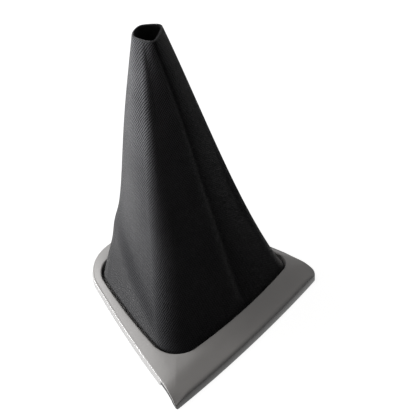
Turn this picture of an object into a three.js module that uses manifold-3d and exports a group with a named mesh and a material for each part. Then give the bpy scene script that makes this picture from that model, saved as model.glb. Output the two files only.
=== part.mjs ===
// Gear lever gaiter for a car console: a soft leather sleeve with an open mouth for the
// lever, clamped in a silver plastic trim frame by a black ring underneath.
// Millimetres, +Z up. The wide side of the frame, with its rolled lip, looks along -Y.
// The origin is under the middle of the frame, on the plane that the lip stands on.
import * as THREE from 'three';
import { mergeVertices } from 'three/addons/utils/BufferGeometryUtils.js';
import Module from 'manifold-3d';

// trim frame, outline
const frameLength = 115.6;        // wide edge to narrow edge
const wideEdge = 135;             // across the two pointed corners
const narrowEdge = 72;            // across the narrow end, before its corners are rounded
const wideBow = 2.2;              // the wide edge swells by this much
const sideBow = 1.4;              // and the two long sides by this much
const narrowAside = 6.6;          // the narrow end sits this much towards +X
const leftPointRadius = 1;        // the two pointed corners at the lip
const rightPointRadius = 3.5;
const endRadius = 30;             // the two round corners of the narrow end

// opening in the trim frame, by what the frame leaves round it
const wideBorder = 15.15;         // behind the wide edge
const endBorder = 10.15;          // at the narrow end
const leftBorder = 13.9;          // along the wide end, from the left point
const rightBorder = 6.5;          // and from the right point
const leftEndBorder = 1.2;        // the same along the narrow end, before the rounding
const rightEndBorder = 4;
const openingBow = 2.2;
const openingSideBow = 1;
const openingLeftRadius = 17;
const openingRightRadius = 9;
const openingEndRadius = 18;

// trim frame, section
const openingEdgeZ = 11.4;        // height of the edge round the opening
const sideDrop = 1.4;             // the sides slope down to their outer edge by this much
const skirtBottomZ = 5.2;         // the side walls stop here, above the lip
const lipEdgeZ = 7.6;             // where the lip starts to roll over
const foldAt = 11.5;              // the top folds down this far behind the wide edge
const foldSoft = 3.5;
const pointDrop = 3;              // and falls this much more at the two points
const rimRound = 0.9;
const lipRound = 3;
const pointRound = 1.2;
const skinWall = 2.2;
const skirtWall = 1.6;
const skirtDraft = 0.6;           // the walls stand out this much more at their foot
const pointRake = 1;              // the foot of the lip is this much shorter at each point
const rakeTopZ = 3.6;
const edgeBevel = 0.8;
const edgeBead = 1.6;             // bead under the opening edge, which sits on the ring
const rollLength = 19;            // the side edges turn rounder this far from the wide edge
const pointLength = 14;           // and the lip this far from each point
const rollPower = 2.5;            // a higher power keeps the roll nearer to the points
const stepLength = 15;            // and the side walls end this far from it

// clamping ring
const ringTopZ = 6.6;
const ringWall = 3;
const ringStep = 1.2;             // the ring shows this much inside the opening edge
const ringReach = 7.9;            // and reaches this far out under the frame
const seatGap = 0.3;              // between pieces that touch

// snap hooks and melted pins, moulded with the trim frame
const hookWidth = 10;
const hookWall = 1.5;
const hookBarb = 1.3;
const hookBarbHeight = 3;
const rearHookX = 15;             // either side of the middle of the narrow end
const sideHookY = -27;
const pinDiameter = 3;
const pinHeadDiameter = 5;
const pinHeadHeight = 1.3;
const pinOut = 5.7;               // pin axis, out from the opening edge
const widePinX = 32;

// sleeve
const leatherWall = 1.2;
const hemWall = 1.9;              // doubled leather round the mouth
const hemDepth = 16;
const tuckReach = 2.3;            // turned out under the ring
const mouthZ = 185;
const mouth = [                   // outline of the mouth, from the near corner, seen from above
  [-6.3, 16.2], [-2.9, 11.6], [10.1, 17.7], [11, 20.3], [7.2, 25], [2.4, 27.8], [-6.2, 24.2],
];
const creaseAt = 0.64;            // foot of the long crease, along the wide face
const creaseDepth = 2.4;
const creaseWidth = 3.2;
const ridgeHeight = 1.1;          // soft welt beside the crease
const bellLeft = 6;               // how much the sleeve draws in above its foot
const bellRight = 0.25;
const hollowDepth = 2.2;          // shallow hollow low on the left face
const shoulderHeight = 1.3;       // soft shoulder low on the rear left corner
const shoulderAt = 0.25;
const faceHollow = 2;             // faces sink a little between the soft corners

// faceting
const wideSteps = 28;
const sideSteps = 12;
const endSteps = 4;
const pointArcSteps = 4;
const endArcSteps = 9;
const sleeveWideSteps = 26;
const sleeveSideSteps = 12;
const sleeveEndSteps = 6;
const sleevePointSteps = 5;
const sleeveEndArcSteps = 7;
const sleeveLevels = 24;
const liningLevels = 11;

const wasm = await Module();
wasm.setup();

const mix = (a, b, t) => a + (b - a) * t;
const clamp01 = (t) => Math.min(1, Math.max(0, t));
const smooth = (t) => clamp01(t) ** 2 * (3 - 2 * clamp01(t));
const rollOff = (t) => (1 - clamp01(t)) ** rollPower;
const bump = (d, width) => Math.exp(-((d / width) ** 2));

// Corner of a plan rounded with an arc, as points from one tangent to the other.
function cornerArc(before, corner, after, radius, steps) {
  const a = before.clone().sub(corner).normalize();
  const b = after.clone().sub(corner).normalize();
  const half = Math.acos(a.dot(b)) / 2;
  const centre = a.clone().add(b).normalize().multiplyScalar(radius / Math.sin(half)).add(corner);
  const start = a.multiplyScalar(radius / Math.tan(half)).add(corner).sub(centre);
  const turn = Math.PI - 2 * half;
  const points = [];
  for (let i = 0; i <= steps; i += 1) {
    points.push(start.clone().rotateAround(new THREE.Vector2(), (turn * i) / steps).add(centre));
  }
  return points;
}

// Trapezium with rounded corners and slightly bowed sides, counterclockwise from the left
// end of the wide side. The stops are shares of the way along each of its four sides.
function plan({ wide, narrow, length, shift, wideAside, endAside, bow, side, radii, stops, arcSteps }) {
  const y0 = wideBow / 2 - length / 2 + shift;
  const y1 = y0 + length;
  const corners = [
    new THREE.Vector2(wideAside - wide / 2, y0), new THREE.Vector2(wideAside + wide / 2, y0),
    new THREE.Vector2(endAside + narrow / 2, y1), new THREE.Vector2(endAside - narrow / 2, y1),
  ];
  const arcs = corners.map((corner, i) => cornerArc(
    corners[(i + 3) % 4], corner, corners[(i + 1) % 4], radii[i], arcSteps[i]));
  const bows = [bow, side, 0, side];
  const points = [];
  for (let k = 0; k < 4; k += 1) {
    const from = arcs[k].at(-1);
    const to = arcs[(k + 1) % 4][0];
    const out = to.clone().sub(from).normalize().rotateAround(new THREE.Vector2(), -Math.PI / 2);
    stops[k].forEach((t) => {
      points.push(from.clone().lerp(to, t).addScaledVector(out, bows[k] * 4 * t * (1 - t)));
    });
    points.push(...arcs[(k + 1) % 4].slice(0, -1));
  }
  return points;
}

const evenStops = (count) => Array.from({ length: count }, (_, i) => i / count);

// The point of an outline that lies nearest to a given point.
function nearestOn(outline, point) {
  const line = new THREE.Line3();
  const flat = (p) => new THREE.Vector3(p.x, p.y, 0);
  const found = new THREE.Vector3();
  let best = new THREE.Vector3(1e4, 0, 0);
  outline.forEach((p, i) => {
    line.set(flat(p), flat(outline[(i + 1) % outline.length]));
    line.closestPointToPoint(flat(point), true, found);
    if (found.distanceTo(flat(point)) < best.distanceTo(flat(point))) best = found.clone();
  });
  return new THREE.Vector2(best.x, best.y);
}

// A plan moved outwards (or inwards, below zero) by a distance at each point.
function grow(points, distance) {
  return points.map((point, i) => {
    const before = points[(i + points.length - 1) % points.length];
    const after = points[(i + 1) % points.length];
    const out = after.clone().sub(before).normalize().rotateAround(new THREE.Vector2(), -Math.PI / 2);
    const reach = typeof distance === 'function' ? distance(i) : distance;
    return point.clone().addScaledVector(out, reach);
  });
}

// Closed ring: each station has the same number of section points, and the sections run
// clockwise when seen along the ring with +Z up and the outside on the right.
function ringGeometry(sections) {
  const count = sections[0].length;
  const position = sections.flat().flatMap((p) => [p.x, p.y, p.z]);
  const index = [];
  sections.forEach((_, i) => {
    const j = (i + 1) % sections.length;
    for (let k = 0; k < count; k += 1) {
      const m = (k + 1) % count;
      const [a, b, c, d] = [i * count + k, i * count + m, j * count + m, j * count + k];
      index.push(a, b, c, a, c, d);
    }
  });
  const geometry = new THREE.BufferGeometry();
  geometry.setAttribute('position', new THREE.Float32BufferAttribute(position, 3));
  geometry.setIndex(index);
  return geometry;
}

function toSolid(source) {
  const bare = source.clone();
  bare.deleteAttribute('normal');
  bare.deleteAttribute('uv');
  const geometry = mergeVertices(bare, 1e-4);
  return new wasm.Manifold(new wasm.Mesh({
    numProp: 3,
    vertProperties: new Float32Array(geometry.attributes.position.array),
    triVerts: new Uint32Array(geometry.index.array),
  }));
}

function fromSolid(solid) {
  const mesh = solid.getMesh();
  const geometry = new THREE.BufferGeometry();
  geometry.setAttribute('position', new THREE.Float32BufferAttribute(mesh.vertProperties, 3));
  geometry.setIndex(new THREE.Uint32BufferAttribute(mesh.triVerts, 1));
  geometry.computeVertexNormals();
  return geometry;
}

// two stations close together where the side walls end, near the wide edge
const stepStop = stepLength / (frameLength - endRadius);
const sideStops = [...evenStops(sideSteps), stepStop - 0.004, stepStop + 0.004].sort((a, b) => a - b);
const outer = plan({
  wide: wideEdge, narrow: narrowEdge, length: frameLength,
  shift: 0, wideAside: 0, endAside: narrowAside,
  bow: wideBow, side: sideBow, radii: [leftPointRadius, rightPointRadius, endRadius, endRadius],
  stops: [
    evenStops(wideSteps), sideStops, evenStops(endSteps),
    [0, ...sideStops.slice(1).map((t) => 1 - t).reverse()],
  ],
  arcSteps: [pointArcSteps, pointArcSteps, endArcSteps, endArcSteps],
});
const openingEndAside = narrowAside + (leftEndBorder - rightEndBorder) / 2;
const openingPlan = {
  wide: wideEdge - leftBorder - rightBorder,
  narrow: narrowEdge - leftEndBorder - rightEndBorder,
  length: frameLength - wideBorder - endBorder,
  shift: (wideBorder - endBorder) / 2,
  wideAside: (leftBorder - rightBorder) / 2, endAside: openingEndAside,
  bow: openingBow, side: openingSideBow,
  radii: [openingLeftRadius, openingRightRadius, openingEndRadius, openingEndRadius],
};
const fineStops = evenStops(40);
const fineOpening = plan({
  ...openingPlan, stops: [fineStops, fineStops, fineStops, fineStops], arcSteps: [24, 24, 24, 24],
});
const opening = outer.map((p) => nearestOn(fineOpening, p));
const sleevePlan = plan({
  ...openingPlan,
  stops: [evenStops(sleeveWideSteps), evenStops(sleeveSideSteps), evenStops(sleeveEndSteps), evenStops(sleeveSideSteps)],
  arcSteps: [sleevePointSteps, sleevePointSteps, sleeveEndArcSteps, sleeveEndArcSteps],
});
const stations = outer.length;
const wideY = Math.min(...outer.map((p) => p.y));
const borderAt = (i) => outer[i].distanceTo(opening[i]);

// Height of the top at a plan point: flat round the opening, folded down along the wide edge
// and at its points. The share runs from the opening to the outer edge.
const halfWide = wideEdge / 2;
const pastFold = (distance) => (distance + Math.hypot(distance, foldSoft)) / 2;
function topHeight({ x, y }, share) {
  const wideLine = (wideBow - frameLength) / 2 - wideBow * (1 - (x / halfWide) ** 2);
  const inside = y - wideLine;
  const slope = (openingEdgeZ - lipEdgeZ) / (foldAt - lipRound);
  const toPoint = rollOff((halfWide - Math.abs(x)) / pointLength);
  return openingEdgeZ - slope * Math.max(pastFold(foldAt - inside) - pastFold(-stepLength), 0)
    - sideDrop * smooth(inside / stepLength) * clamp01(share) ** 1.2
    - pointDrop * toPoint * clamp01((stepLength - inside) / pointLength) ** 3;
}

// Trim frame: the section changes from the upright side wall to the rolled lip.
const inWide = (i) => i <= wideSteps + pointArcSteps / 2 || i >= stations - pointArcSteps / 2;
function frameSection(i) {
  const from = opening[i];
  const out = outer[i].clone().sub(from).normalize();
  const border = borderAt(i);
  const back = outer[i].y - wideY - wideBow;
  const fall = rollOff(back / rollLength);
  const toPoint = rollOff((halfWide - Math.abs(outer[i].x)) / pointLength);
  const round = inWide(i) ? mix(lipRound, pointRound, toPoint) : mix(rimRound, pointRound, fall);
  const topAt = (a) => topHeight(from.clone().addScaledVector(out, a),
    (a - edgeBevel) / (border - round - edgeBevel));
  // the roll at the edge starts in line with the slope of the top
  let lean = 0;
  let flat = border - round;
  for (let n = 0; n < 4; n += 1) {
    flat = border - round * (1 - Math.sin(lean));
    lean = Math.max(0, Math.atan((topAt(flat - rimRound / 2) - topAt(flat)) / (rimRound / 2)));
  }
  const edgeZ = topAt(flat);
  const wallTopZ = edgeZ - round * Math.cos(lean);
  const cutFoot = Math.max(0, edgeZ - skinWall) * smooth(back / 4);
  const footZ = inWide(i) ? 0 : (back > stepLength ? skirtBottomZ : cutFoot);
  const inner = border - skirtWall;
  const ceiling = Math.max(footZ + 0.4, Math.min(wallTopZ, edgeZ - skinWall));
  const beadZ = ringTopZ + seatGap;
  const profile = [[0, openingEdgeZ - edgeBevel], [edgeBevel, openingEdgeZ]];
  [0.25, 0.5, 0.75, 1].forEach((t) => {
    const a = mix(edgeBevel, flat, t);
    profile.push([a, topAt(a)]);
  });
  [1, 2, 3].forEach((n) => {
    const turn = mix(lean, Math.PI / 2, n / 3);
    profile.push([flat + round * (Math.sin(turn) - Math.sin(lean)),
      edgeZ - round * (Math.cos(lean) - Math.cos(turn))]);
  });
  profile.push([border + skirtDraft, Math.min(footZ, wallTopZ - 0.1)], [inner, footZ], [inner, ceiling]);
  [0.75, 0.5, 0.25].forEach((t) => {
    const a = mix(edgeBead, inner, t);
    profile.push([a, Math.max(topAt(a) - skinWall, ceiling)]);
  });
  profile.push([edgeBead, openingEdgeZ - skinWall], [edgeBead, beadZ], [0, beadZ]);
  const rake = (z) => (-Math.sign(outer[i].x) * pointRake * toPoint * (1 - smooth(back / 8))
    * clamp01(1 - z / rakeTopZ));
  return profile.map(([a, z]) => new THREE.Vector3(
    from.x + out.x * a + rake(z), from.y + out.y * a, z));
}
const frameShell = ringGeometry(outer.map((_, i) => frameSection(i)));

// Snap hook: side profile drawn with the barb outwards, then stood up and turned to its side.
function hookGeometry(top, grownBy = 0) {
  const g = grownBy;
  const profile = new THREE.Shape();
  profile.moveTo(-g, -g);
  profile.lineTo(hookWall * 0.6 + g, -g);
  profile.lineTo(hookWall + hookBarb + g, hookBarbHeight * 0.7 - g);
  profile.lineTo(hookWall + hookBarb + g, hookBarbHeight + g);
  profile.lineTo(hookWall + g, hookBarbHeight + g);
  profile.lineTo(hookWall + g, top + g);
  profile.lineTo(-g, top + g);
  profile.closePath();
  const geometry = new THREE.ExtrudeGeometry(profile, { depth: hookWidth + 2 * g, bevelEnabled: false });
  geometry.translate(0, 0, -hookWidth / 2 - g);
  geometry.rotateX(Math.PI / 2);
  return geometry;
}
// hook feet, on the outline of the frame, and the way each one looks
function outerPointAt(test) {
  const i = outer.reduce((best, _, k) => (test(outer[k]) < test(outer[best]) ? k : best), 0);
  const next = outer[(i + 1) % stations];
  const along = next.clone().sub(outer[i]).normalize();
  return { index: i, point: outer[i].clone(), out: along.rotateAround(new THREE.Vector2(), -Math.PI / 2) };
}
const hookBack = skirtWall + seatGap + hookWall;
const rearY = Math.max(...outer.map((p) => p.y));
const hookSeats = [-1, 1].flatMap((side) => [
  { point: new THREE.Vector2(narrowAside + side * rearHookX, rearY), out: new THREE.Vector2(0, 1) },
  outerPointAt((p) => Math.hypot(p.y - sideHookY, p.x * side < 0 ? 1000 : 0)),
]);
const hookTop = openingEdgeZ - skinWall + seatGap;
function placeHook(seat, grownBy) {
  const foot = seat.point.clone().addScaledVector(seat.out, -hookBack);
  const geometry = hookGeometry(hookTop, grownBy);
  geometry.rotateZ(Math.atan2(seat.out.y, seat.out.x));
  geometry.translate(foot.x, foot.y, 0);
  return toSolid(geometry);
}

// Melted pins: a shank through the ring and a domed head under it.
const ringBottomZ = ringTopZ - ringWall;
const nearestOpening = (x, rear) => opening.reduce((best, p) => (
  (rear ? p.y > 0 : p.y < 0) && Math.abs(p.x - x) < Math.abs(best.x - x) ? p : best),
new THREE.Vector2(1e3, 0));
const pinSeats = [
  { x: -widePinX, y: nearestOpening(-widePinX, false).y - pinOut },
  { x: widePinX, y: nearestOpening(widePinX, false).y - pinOut },
  { x: openingEndAside, y: Math.max(...opening.map((p) => p.y)) + pinOut },
];
function pinSolid({ x, y }) {
  const r = pinDiameter / 2;
  const head = pinHeadDiameter / 2;
  const headTop = ringBottomZ - seatGap;
  const profile = [
    [0, headTop - pinHeadHeight], [head * 0.6, headTop - pinHeadHeight],
    [head, headTop - pinHeadHeight * 0.45], [head, headTop], [r, headTop],
    [r, openingEdgeZ - skinWall], [0, openingEdgeZ - skinWall],
  ].map(([a, z]) => new THREE.Vector2(a, z));
  const geometry = new THREE.LatheGeometry(profile, 14);
  geometry.rotateX(Math.PI / 2);
  geometry.translate(x, y, 0);
  return toSolid(geometry);
}
function holeSolid({ x, y }) {
  const geometry = new THREE.CylinderGeometry(
    pinDiameter / 2 + seatGap, pinDiameter / 2 + seatGap, ringWall * 3, 14);
  geometry.rotateX(Math.PI / 2);
  geometry.translate(x, y, ringTopZ - ringWall / 2);
  return toSolid(geometry);
}

let frameSolid = toSolid(frameShell);
hookSeats.forEach((seat) => { frameSolid = frameSolid.add(placeHook(seat, 0)); });
pinSeats.forEach((seat) => { frameSolid = frameSolid.add(pinSolid(seat)); });

// Clamping ring: a flat band under the frame, notched for the hooks, bored for the pins.
const ringInner = grow(opening, -ringStep);
const ringOuter = opening.map((p, i) => {
  const out = outer[i].clone().sub(p).normalize();
  const reach = Math.min(ringReach, borderAt(i) - skirtWall - seatGap - 0.1);
  return p.clone().addScaledVector(out, reach);
});
const ringBand = ringGeometry(opening.map((_, i) => [
  [ringInner[i], ringTopZ], [ringOuter[i], ringTopZ],
  [ringOuter[i], ringBottomZ], [ringInner[i], ringBottomZ],
].map(([p, z]) => new THREE.Vector3(p.x, p.y, z))));
let ringSolid = toSolid(ringBand);
hookSeats.forEach((seat) => { ringSolid = ringSolid.subtract(placeHook(seat, seatGap)); });
pinSeats.forEach((seat) => { ringSolid = ringSolid.subtract(holeSolid(seat)); });

// Sleeve: sections from the clamped foot to the mouth.
const foot = grow(sleevePlan, -ringStep - seatGap);
const around = foot.length;
const tuck = grow(foot, tuckReach);
const creaseStation = Math.round(creaseAt * sleeveWideSteps);
const rightStart = sleeveWideSteps + sleevePointSteps;
const endStart = rightStart + sleeveSideSteps + sleeveEndArcSteps;
const leftStart = around - sleevePointSteps - sleeveSideSteps;
const mouthKeys = [
  -sleevePointSteps / 2, creaseStation, sleeveWideSteps + sleevePointSteps / 2,
  rightStart + sleeveSideSteps / 12,
  endStart - sleeveEndArcSteps / 2, leftStart - sleeveEndArcSteps * 0.8,
  leftStart + sleeveSideSteps / 12,
];
const mouthCurve = new THREE.CatmullRomCurve3(
  mouth.map(([x, y]) => new THREE.Vector3(x, y, 0)), true, 'centripetal');
function mouthPoint(i) {
  const station = i > mouthKeys.at(-1) ? i - around : i;
  const keys = [mouthKeys.at(-1) - around, ...mouthKeys];
  const k = keys.findLastIndex((key) => key <= station);
  const next = keys[k + 1] ?? mouthKeys[0] + around;
  const t = (station - keys[k]) / (next - keys[k]);
  const u = ((k - 1 + t) / mouth.length + 1) % 1;
  const p = mouthCurve.getPoint(u);
  return new THREE.Vector2(p.x, p.y);
}
const top = foot.map((_, i) => mouthPoint(i));
const baseZ = openingEdgeZ - skinWall;

const footOut = grow(foot, 1).map((p, i) => p.sub(foot[i]));
const alongSide = (i, from, count) => clamp01((i - from) / count);
function sleevePoint(i, v, wall) {
  const rightward = smooth((footOut[i].x + 1) / 2);
  const bell = mix(bellLeft * v ** 2 * (1 - v) ** 4, bellRight * v ** 0.7 * (1 - v) ** 1.5, rightward);
  const p = foot[i].clone().lerp(top[i], v + bell);
  const spread = foot[i].distanceTo(foot[(i + 1) % around]);
  const step = mix(spread, top[i].distanceTo(top[(i + 1) % around]), v);
  const shown = smooth(v / 0.12) * smooth((1 - v) / 0.08);
  const fromCrease = (i - creaseStation) * step;
  const onWide = i < rightStart ? 1 : 0;
  let push = 0;
  const pinch = mix(1, 0.45, v);
  const width = creaseWidth * pinch;
  push -= onWide * creaseDepth * pinch * bump(fromCrease, width) * shown;
  push += onWide * ridgeHeight * pinch * bump(fromCrease + width * 1.9, width) * shown;
  const onLeft = alongSide(i, leftStart, sleeveSideSteps);
  const leftFace = i >= leftStart ? Math.sin(Math.PI * onLeft) : 0;
  push -= leftFace * faceHollow * Math.sin(Math.PI * v) * 0.6;
  push -= leftFace * hollowDepth * bump(v - mix(0.26, 0.08, onLeft), 0.07);
  const fromRearLeft = (i - leftStart) / sleeveEndArcSteps + 0.5;
  push += shoulderHeight * bump(v - shoulderAt, 0.055) * bump(fromRearLeft, 0.8);
  const rightFace = Math.sin(Math.PI * alongSide(i, rightStart, sleeveSideSteps));
  push -= rightFace * faceHollow * Math.sin(Math.PI * v);
  const out = footOut[i];
  const inward = push - wall;
  return new THREE.Vector3(
    p.x + out.x * inward, p.y + out.y * inward,
    mix(baseZ, mouthZ, v));
}
function sleeveSection(i) {
  const points = [];
  const flatAt = (p, z) => new THREE.Vector3(p.x, p.y, z);
  const tuckTopZ = ringBottomZ - seatGap;
  const inside = foot[i].clone().addScaledVector(footOut[i], -leatherWall);
  points.push(flatAt(inside, tuckTopZ));
  points.push(...Array.from({ length: liningLevels }, (_, n) => {
    const v = n / (liningLevels - 1);
    const wall = v * (mouthZ - baseZ) > mouthZ - baseZ - hemDepth ? hemWall : leatherWall;
    return sleevePoint(i, v * (1 - 0.004), wall);
  }));
  points.push(...Array.from({ length: sleeveLevels }, (_, n) => (
    sleevePoint(i, 1 - n / (sleeveLevels - 1), 0))));
  points.push(flatAt(foot[i], tuckTopZ + 0.2));
  points.push(flatAt(tuck[i], tuckTopZ));
  points.push(flatAt(tuck[i], tuckTopZ - leatherWall));
  points.push(flatAt(inside.clone().lerp(foot[i], 0.5), tuckTopZ - leatherWall));
  return points;
}
const sleeveGeometry = ringGeometry(foot.map((_, i) => sleeveSection(i)));

// colours: silver paint, black moulding, black leather
const silverPaint = new THREE.MeshStandardMaterial({ color: 0x9b9893, roughness: 0.42, metalness: 0.35 });
const blackMoulding = new THREE.MeshStandardMaterial({ color: 0x17181a, roughness: 0.6, metalness: 0 });
const blackLeather = new THREE.MeshStandardMaterial({ color: 0x141415, roughness: 0.55, metalness: 0 });

const group = new THREE.Group();
function addPiece(name, geometry, material) {
  geometry.computeVertexNormals();
  const mesh = new THREE.Mesh(geometry, material);
  mesh.name = name;
  group.add(mesh);
}
addPiece('trim_frame', fromSolid(frameSolid), silverPaint);
addPiece('clamping_ring', fromSolid(ringSolid), blackMoulding);
addPiece('gaiter_sleeve', sleeveGeometry, blackLeather);

export default group;
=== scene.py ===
# Gear lever gaiter: leather sleeve in a silver trim frame
import math
import bpy
import bmesh
from mathutils import Matrix, Vector


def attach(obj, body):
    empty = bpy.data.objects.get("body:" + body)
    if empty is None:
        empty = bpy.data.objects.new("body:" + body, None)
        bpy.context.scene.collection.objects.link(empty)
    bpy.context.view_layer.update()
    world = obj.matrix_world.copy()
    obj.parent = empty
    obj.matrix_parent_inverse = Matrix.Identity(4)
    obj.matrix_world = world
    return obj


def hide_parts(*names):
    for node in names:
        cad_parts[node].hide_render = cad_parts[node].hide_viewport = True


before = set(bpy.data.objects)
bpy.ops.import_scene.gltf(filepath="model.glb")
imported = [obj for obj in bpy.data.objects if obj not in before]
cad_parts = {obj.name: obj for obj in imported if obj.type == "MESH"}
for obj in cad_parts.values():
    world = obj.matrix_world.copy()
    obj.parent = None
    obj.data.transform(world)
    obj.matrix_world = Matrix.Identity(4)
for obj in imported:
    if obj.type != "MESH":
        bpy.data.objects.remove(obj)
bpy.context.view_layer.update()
bpy.ops.object.select_all(action="DESELECT")
scene = bpy.context.scene
mm = 0.001


# camera at the photograph's angle
view = {"place": (-0.2867, -0.2718, 0.4490), "looksAt": (0.02157, -0.00268, 0.0600), "lens": 80.84}


def addCamera():
    bpy.ops.object.camera_add(location=view["place"])
    cam = bpy.context.object
    cam.name = "photoCamera"
    cam.rotation_euler = (Vector(view["looksAt"]) - cam.location).to_track_quat("-Z", "Y").to_euler()
    cam.data.lens = view["lens"]
    cam.data.clip_start = 0.01
    scene.camera = cam


addCamera()
print("camera placed")


# small helpers for curves and blends
def mix(a, b, t):
    return a + (b - a) * t


def clamp01(t):
    return min(1.0, max(0.0, t))


def smooth(t):
    t = clamp01(t)
    return t * t * (3 - 2 * t)


def bump(d, width):
    return math.exp(-((d / width) ** 2))


def rollOff(t, power=2.5):
    return (1 - clamp01(t)) ** power


# corner of a plan rounded with an arc, from one tangent point to the other
def cornerArc(before, corner, after, radius, steps):
    a = (before - corner).normalized()
    b = (after - corner).normalized()
    half = a.angle(b) / 2
    centre = (a + b).normalized() * radius / math.sin(half) + corner
    start = a * radius / math.tan(half) + corner - centre
    turn = math.pi - 2 * half
    points = []
    for n in range(steps + 1):
        points.append(Matrix.Rotation(turn * n / steps, 2) @ start + centre)
    return points


# trapezium with rounded corners and bowed sides, counterclockwise from its left front corner
def planOutline(p, stops, arcSteps):
    y0 = outline["wideBow"] / 2 - p["length"] / 2 + p["shift"]
    y1 = y0 + p["length"]
    corners = [
        Vector((p["wideAside"] - p["wide"] / 2, y0)), Vector((p["wideAside"] + p["wide"] / 2, y0)),
        Vector((p["endAside"] + p["narrow"] / 2, y1)), Vector((p["endAside"] - p["narrow"] / 2, y1)),
    ]
    arcs = [cornerArc(corners[k - 1], corners[k], corners[(k + 1) % 4], p["radii"][k], arcSteps[k])
            for k in range(4)]
    bows = [p["bow"], p["side"], 0, p["side"]]
    points = []
    for k in range(4):
        start = arcs[k][-1]
        end = arcs[(k + 1) % 4][0]
        along = (end - start).normalized()
        out = Vector((along.y, -along.x))
        for t in stops[k]:
            points.append(start.lerp(end, t) + out * bows[k] * 4 * t * (1 - t))
        points += arcs[(k + 1) % 4][:-1]
    return points


def evenStops(count):
    return [n / count for n in range(count)]


def nearestOn(loop, point):
    best = None
    for k, a in enumerate(loop):
        b = loop[(k + 1) % len(loop)]
        span = b - a
        t = clamp01((point - a).dot(span) / span.length_squared) if span.length_squared else 0
        spot = a + span * t
        if best is None or (spot - point).length < (best - point).length:
            best = spot
    return best


def outwards(points, k):
    along = (points[(k + 1) % len(points)] - points[k - 1]).normalized()
    return Vector((along.y, -along.x))


def grow(points, distance):
    return [p + outwards(points, k) * distance for k, p in enumerate(points)]


# sections side by side, drawn as one circle that is extruded along them, level by level
def loft(name, sections, closed=True):
    bpy.ops.object.select_all(action="DESELECT")
    bpy.ops.mesh.primitive_circle_add(vertices=len(sections), radius=1, location=(0, 0, 0))
    obj = bpy.context.object
    obj.name = obj.data.name = name
    stationMark = obj.data.attributes.new("station", "INT", "POINT")
    obj.data.attributes.new("level", "INT", "POINT")
    for k, section in enumerate(sections):
        obj.data.vertices[k].co = section[0]
        stationMark.data[k].value = k
    bpy.ops.object.mode_set(mode="EDIT")
    bpy.ops.mesh.select_all(action="SELECT")
    levels = len(sections[0])
    for level in range(1, levels + (1 if closed else 0)):
        bpy.ops.mesh.extrude_region_move()
        edit = bmesh.from_edit_mesh(obj.data)
        station, height = edit.verts.layers.int["station"], edit.verts.layers.int["level"]
        for vertex in edit.verts:
            if vertex.select:
                vertex.co = sections[vertex[station]][level % levels]
                vertex[height] = level % levels
    bmesh.update_edit_mesh(obj.data)
    bpy.ops.mesh.select_all(action="SELECT")
    bpy.ops.mesh.remove_doubles(threshold=2e-6)
    if not closed:
        bpy.ops.mesh.fill_holes(sides=0)
    bpy.ops.mesh.normals_make_consistent(inside=False)
    bpy.ops.object.mode_set(mode="OBJECT")
    return obj


def pointMarks(obj, name):
    marks = obj.data.attributes[name].data
    return [marks[k].value for k in range(len(marks))]


def addPointValues(obj, name, values):
    mark = obj.data.attributes.new(name, "FLOAT", "POINT")
    for k, value in enumerate(values):
        mark.data[k].value = value


def dropMarks(obj):
    for name in ("station", "level"):
        obj.data.attributes.remove(obj.data.attributes[name])


# plan of the trim frame and of its opening, in millimetres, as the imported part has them
outline = {
    "length": 115.6, "wide": 135.0, "narrow": 72.0, "wideBow": 2.2, "sideBow": 1.4, "narrowAside": 6.6,
    "leftPointRadius": 1.0, "rightPointRadius": 3.5, "endRadius": 30.0,
}
border = {
    "wide": 15.15, "end": 10.15, "left": 13.9, "right": 6.5, "leftEnd": 1.2, "rightEnd": 4.0,
    "bow": 2.2, "sideBow": 1.0, "leftRadius": 17.0, "rightRadius": 9.0, "endRadius": 18.0,
}
outerPlan = {
    "wide": outline["wide"], "narrow": outline["narrow"], "length": outline["length"], "shift": 0,
    "wideAside": 0, "endAside": outline["narrowAside"], "bow": outline["wideBow"], "side": outline["sideBow"],
    "radii": [outline["leftPointRadius"], outline["rightPointRadius"], outline["endRadius"], outline["endRadius"]],
}
openingPlan = {
    "wide": outline["wide"] - border["left"] - border["right"],
    "narrow": outline["narrow"] - border["leftEnd"] - border["rightEnd"],
    "length": outline["length"] - border["wide"] - border["end"],
    "shift": (border["wide"] - border["end"]) / 2,
    "wideAside": (border["left"] - border["right"]) / 2,
    "endAside": outline["narrowAside"] + (border["leftEnd"] - border["rightEnd"]) / 2,
    "bow": border["bow"], "side": border["sideBow"],
    "radii": [border["leftRadius"], border["rightRadius"], border["endRadius"], border["endRadius"]],
}


# trim frame: one loft whose section turns from an upright wall into the rolled lip
trim = {
    "openingEdgeZ": 11.4, "skirtBottomZ": 5.2, "lipEdgeZ": 7.6, "pointEdgeZ": 3.6,
    "rimRound": 0.9, "lipRound": 3.0, "pointRound": 1.2, "skinWall": 2.2, "skirtWall": 1.6,
    "skirtDraft": 0.6, "pointRake": 1.0, "rakeLength": 8, "wallRise": 4,
    "edgeBevel": 0.8, "edgeBead": 1.6, "beadZ": 6.9, "beadSoft": 0.2,
    "foldAt": 11.5, "foldSoft": 3.5, "foldFar": 15.0, "pointDrop": 3.0, "sideDrop": 1.4,
    "rollLength": 19.0, "pointLength": 14.0, "stepLength": 15.0, "footRound": 0.25,
    "wideSteps": 108, "sideSteps": 64, "endSteps": 14, "pointArcSteps": 10, "endArcSteps": 26,
    "openingSteps": 60, "openingArcSteps": 30, "stepSplit": 0.003,
    "bevelSteps": 4, "topSteps": 16, "rollSteps": 8, "ceilingSteps": 6,
    "leanStep": 0.4, "leastWall": 0.4, "leastDrop": 0.05,
    "lipShadeFrom": 23, "lipShadeLevels": 5, "darkEndFrom": 27, "insideFrom": 31,
}


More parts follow.
